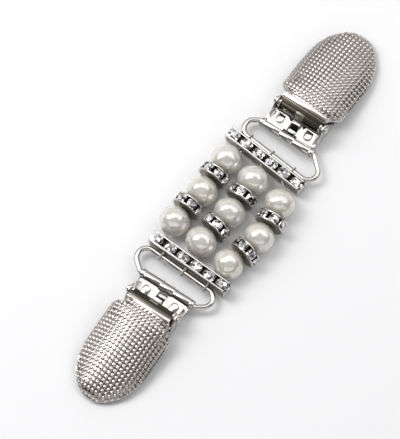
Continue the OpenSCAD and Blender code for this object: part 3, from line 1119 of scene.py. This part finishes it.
def spring_jaw():
    """A jaw spring: the leaf under the flap, and the tab that holds it in the panel's notch."""
    low, top = 2.2, 4.35
    bm = bmesh.new()
    # The tab comes up through the notch and over its edge; the part that rises through the notch
    # is near-black, painted shade
    foot = rounded([(-6.6, low), (-5.7, low + 0.1), (-5.7, low + 0.6), (-6.6, low + 0.5)], 0.12)
    rise = [(-5.8, low + 0.05), (-5.2, low + 0.1), (-4.3, 3.95), (-4.5, 4.4), (-5.8, low + 0.5)]
    tab = rounded([(-4.5, 3.95), (-2, 3.85), (-2, top - 0.1), (-4.6, 4.45)], 0.12)
    add_to(bm, plate([foot], -1.15, 1.15, 0.08, "y"))
    add_to(bm, plate([rise], -1.05, 1.05, 0.04, "y"), material=1)
    add_to(bm, plate([tab], -1.15, 1.15, 0.08, "y"))
    add_to(bm, round_box((-6.7, -2.3, low - 0.05), (-5.8, 2.3, low + 0.4), 0.08))
    outline = rounded(
        [
            (-2.5, 3.85), (-0.9, 3.85), (17.2, 1.3), (17.6, 0.75),
            (18, 1.3), (17.6, 1.75), (-0.8, top), (-2.5, top),
        ],
        [0.08, 0.5, 0.2, 0.05, 0.1, 0.3, 0.5, 0.08],
    )
    half = 6.5
    leaf = plate([outline], -half, half, 0.06, "y")
    # Cut across where its sides bend, then narrowed in two places towards its end
    for place in (0.6, 1.4, 2.2, 15.5, 16.5):
        cut_across(leaf, place)
    for vert in leaf.verts:
        u = vert.co.x
        vert.co.y *= (half - ease(u, 0.6, 2.2) - 1.5 * ease(u, 15.5, 18)) / half
    add_to(bm, leaf)
    return bm


class CLIP_OT_springs(bpy.types.Operator):
    """Bend the toothed spring jaws under the flaps"""

    bl_idname = "clip.springs"
    bl_label = "Spring jaws"

    def execute(self, context):
        for side in SIDES:
            finish_piece(spring_jaw(), "spring_jaw", side, at_clip(side), f"clip_{side}")
        return {"FINISHED"}


def hinge_pin():
    start, end, radius = 7.9, 8.29, 0.99
    head = [(7.56, 0.62), (7.56, 0.9), (7.62, 0.98), (start, radius)]
    for a in (20, 40, 60, 75):
        turn = math.radians(a)
        head.append((start + (end - start) * math.sin(turn), radius * math.cos(turn) ** 0.7))
    head.append((end, 0.0))
    profile = [(-x, r) for x, r in reversed(head)] + [(-7.5, 0.645), (7.5, 0.645)] + head
    bm = turned_solid(profile, 40)
    bm.transform(across_clip(PIN_U, PIN_Z))
    return bm


class CLIP_OT_pins(bpy.types.Operator):
    """Turn the hinge pins with their domed heads"""

    bl_idname = "clip.pins"
    bl_label = "Hinge pins"

    def execute(self, context):
        for side in SIDES:
            finish_piece(hinge_pin(), "rivet", side, at_clip(side), f"clip_{side}")
        return {"FINISHED"}


FLAP_L = 27.15
FLAP_WIDTH = smooth_lookup(
    [
        (0, 6.7), (0.8, 6.8), (1.4, 7.2), (1.9, 8.1), (2.4, 8.9), (3.2, 9.3), (4.5, 9.4),
        (8, 9.45), (12, 9.4), (15, 9.3), (17.5, 9), (20, 8.3), (22, 7.5), (24, 6), (25.5, 4.6),
        (26.3, 3.4), (26.8, 2.4), (27.15, 0.9),
    ]
)
FLAP_CROWN = smooth_lookup(
    [(0, 8.3), (3, 8.35), (8, 7.8), (14, 6.6), (20, 5.1), (24, 3.9), (26, 2.9), (27.15, 1.4)]
)


def flap_rim(u):
    return 4.6 - 3.6 * u / 28


def flap_section(u):
    """Points across the flap at one place, with their running length."""
    samples = 72
    width, rise = FLAP_WIDTH(u), max(FLAP_CROWN(u) - flap_rim(u), 0.05)
    # Square-shouldered at the ridge, rounder along the flap
    share = ease(u, 2, 7) * (1 - ease(u, 22.5, 26))
    across, down = 2.6 - 0.6 * share, 1 / (2.6 - 1.25 * share)
    points, run = [], [0.0]
    for j in range(samples + 1):
        x = -math.cos(math.pi * j / samples)
        points.append((width * x, flap_rim(u) + rise * max(0, 1 - abs(x) ** across) ** down))
        if j:
            run.append(run[-1] + math.dist(points[-1], points[-2]))
    return points, run


def at_length(points, run, s):
    """The point at a running length along points."""
    i = span(run, s)
    t = (s - run[i]) / max(run[i + 1] - run[i], 1e-9)
    return [a + (b - a) * t for a, b in zip(points[i], points[i + 1])]


def flap_shell(pitch, depth):
    """The flap's domed sheet, its top knurled, with how far each point is raised."""
    rows, columns = 176, 128
    sheet, line_depth = 0.4, 0.12
    bm = bmesh.new()
    bmesh.ops.create_grid(bm, x_segments=rows, y_segments=columns, size=0.5)
    raised = bm.verts.layers.float.new(RAISED)
    out = bm.verts.layers.float_vector.new("out")
    sections, depths = {}, {}
    for vert in bm.verts:
        f, t = vert.co.x + 0.5, vert.co.y + 0.5
        # Rows lie closer together towards the tip
        u = FLAP_L * (1 - (1 - f) ** 1.12)
        key = round(f * rows)
        if key not in sections:
            sections[key] = flap_section(u)
        points, run = sections[key]
        s = (t - 0.5) * run[-1]
        v, z = at_length(points, run, t * run[-1])
        vert.co = (u, v, z)
        inset = min(run[-1] / 2 - abs(s), FLAP_L - u + 0.2)
        cu = 0.5 + 0.5 * math.cos(2 * math.pi * (u * 1.03 - 2.2) / pitch)
        cv = 0.5 + 0.5 * math.cos(2 * math.pi * s / pitch)
        bump = ease(cu * cv, 0.1, 0.55)
        # The knurling stops short of the edges, and a line is pressed in across the ridge
        there = ease(inset, 0.1, 0.3) * ease(u, 0.85, 1.1)
        line = math.exp(-(((u - 0.62) / 0.1) ** 2)) * ease(inset, 0.3, 0.6)
        # How far a point is raised also sets its painted shade, so the hollows and the pressed
        # line are painted darker
        vert[raised] = 1 - max(there * (1 - bump), line * 0.8)
        depths[vert] = depth * there * (1 - bump) + line_depth * line
    bm.normal_update()
    for vert, down in depths.items():
        vert[out] = vert.normal
        vert.co -= vert.normal * down
    tip = [v for v in bm.verts if v.co.x > FLAP_L - 0.004]
    bmesh.ops.pointmerge(bm, verts=tip, merge_co=(FLAP_L - 0.01, 0, flap_rim(FLAP_L) + 0.12))
    # The underside, a sheet's thickness in, joined to the top all round
    under = bmesh.ops.duplicate(bm, geom=bm.verts[:] + bm.edges[:] + bm.faces[:])
    for item in under["geom"]:
        if isinstance(item, bmesh.types.BMVert):
            item.co -= item[out] * sheet
            item[raised] = 1.0
    bmesh.ops.bridge_loops(bm, edges=[e for e in bm.edges if e.is_boundary])
    bmesh.ops.recalc_face_normals(bm, faces=bm.faces)
    for vert in bm.verts:
        vert.co.x = min(vert.co.x, FLAP_L - 0.01)
    bm.verts.layers.float_vector.remove(out)
    return bm


def flap_hinge():
    """The parts at the flap's front edge, each with the number of its finish."""
    # The ridge: a bright band along the front edge, a fold darkened with painted shade, and a thin
    # lip before it in a lighter painted shade
    band = rounded(
        [(-0.62, 8.1), (-0.1, 8.25), (0.35, 8.3), (0.35, 7.85), (0, 7.8), (-0.62, 7.8)], 0.05
    )
    fold = [(-1.85, 7.35), (-0.6, 7.9), (0.3, 8.0), (0.3, 7.75), (-1.8, 7.15)]
    lip = rounded([(-1.2, 7.72), (-0.88, 7.86), (-0.88, 7.6), (-1.2, 7.5)], 0.03)
    # Below it the sheet turns down in two small steps and curls round the pin; the curl is dark
    # with painted shade, and the land round the pin has the lighter painted shade
    curl = (
        [(0.2, 8.0), (-1.7, 7.4), (-1.9, 7.1)]
        + arc(PIN_U, PIN_Z, 1.05, 96, 215, 18)
        + arc(PIN_U, PIN_Z, 0.78, 215, 70, 18)
        + [(-1.6, 7.15), (-1.4, 7.3), (0.2, 7.7)]
    )
    land = arc(PIN_U, PIN_Z, 1.14, 88, 212, 18) + arc(PIN_U, PIN_Z, 0.95, 212, 88, 18)
    lug = rounded(
        [
            (-1.7, 7.3), (-0.1, 8.05), (0.3, 8.05), (0.3, 4.62), (-1.2, 4.5),
            (-2.4, 4.45), (-3.3, 5.0), (-3.55, 5.95), (-3.2, 6.9), (-2.4, 7.35),
        ],
        0.3,
    )
    return [
        (0, plate([band], -6.6, 6.6, 0.05, "y")),
        (1, plate([fold], -6.5, 6.5, 0.04, "y")),
        (2, plate([lip], -6.55, 6.55, 0.02, "y")),
        (1, plate([curl], -6.0, 6.0, 0.04, "y")),
        (2, plate([land], -1.25, 1.25, 0.03, "y")),
        (0, plate([lug, pin_hole(0.72)], -6.54, -6.06, 0.08, "y")),
        (0, plate([lug, pin_hole(0.72)], 6.06, 6.54, 0.08, "y")),
    ]


def lever_flap(pitch, depth):
    bm = bmesh.new()
    # The layer has to be there before the parts are joined
    bm.verts.layers.float.new(RAISED)
    add_to(bm, flap_shell(pitch, depth))
    for slot, part in flap_hinge():
        raised = part.verts.layers.float.new(RAISED)
        for vert in part.verts:
            vert[raised] = 1.0
        add_to(bm, part, material=slot)
    return bm


class CLIP_OT_flaps(bpy.types.Operator):
    """Press the two knurled lever flaps"""

    bl_idname = "clip.flaps"
    bl_label = "Lever flaps"

    def execute(self, context):
        sizes = context.scene.clip_sizes
        for side in SIDES:
            bm = lever_flap(sizes.knurl_pitch / MM, sizes.knurl_depth / MM)
            finish_piece(bm, "flap", side, at_clip(side), f"lever_{side}")
        return {"FINISHED"}


class CLIP_PT_panel(bpy.types.Panel):
    """The sweater clip's settings and pieces"""

    bl_label = "Sweater clip"
    bl_idname = "CLIP_PT_panel"
    bl_space_type = "VIEW_3D"
    bl_region_type = "UI"
    bl_category = "Sweater clip"

    def draw(self, context):
        layout = self.layout
        for settings in (context.scene.clip_sizes, context.scene.clip_finishes):
            box = layout.box()
            for name in settings.bl_rna.properties.keys():
                if name not in {"rna_type", "name"}:
                    box.prop(settings, name)
        for operator in OPERATORS:
            layout.operator(operator.bl_idname)


OPERATORS = (
    CLIP_OT_stage,
    CLIP_OT_beads,
    CLIP_OT_spacers,
    CLIP_OT_bars,
    CLIP_OT_threads,
    CLIP_OT_loops,
    CLIP_OT_plates,
    CLIP_OT_springs,
    CLIP_OT_pins,
    CLIP_OT_flaps,
)
CLASSES = (ClipSizes, ClipFinishes, *OPERATORS, CLIP_PT_panel)


def register():
    for cls in CLASSES:
        bpy.utils.register_class(cls)
    bpy.types.Scene.clip_sizes = PointerProperty(type=ClipSizes)
    bpy.types.Scene.clip_finishes = PointerProperty(type=ClipFinishes)


def unregister():
    del bpy.types.Scene.clip_finishes
    del bpy.types.Scene.clip_sizes
    for cls in reversed(CLASSES):
        bpy.utils.unregister_class(cls)


def main():
    register()
    bpy.ops.clip.stage()
    bpy.ops.clip.beads()
    bpy.ops.clip.spacers()
    bpy.ops.clip.bars()
    bpy.ops.clip.threads()
    bpy.ops.clip.loops()
    bpy.ops.clip.plates()
    bpy.ops.clip.springs()
    bpy.ops.clip.pins()
    bpy.ops.clip.flaps()


if __name__ == "__main__":
    main()
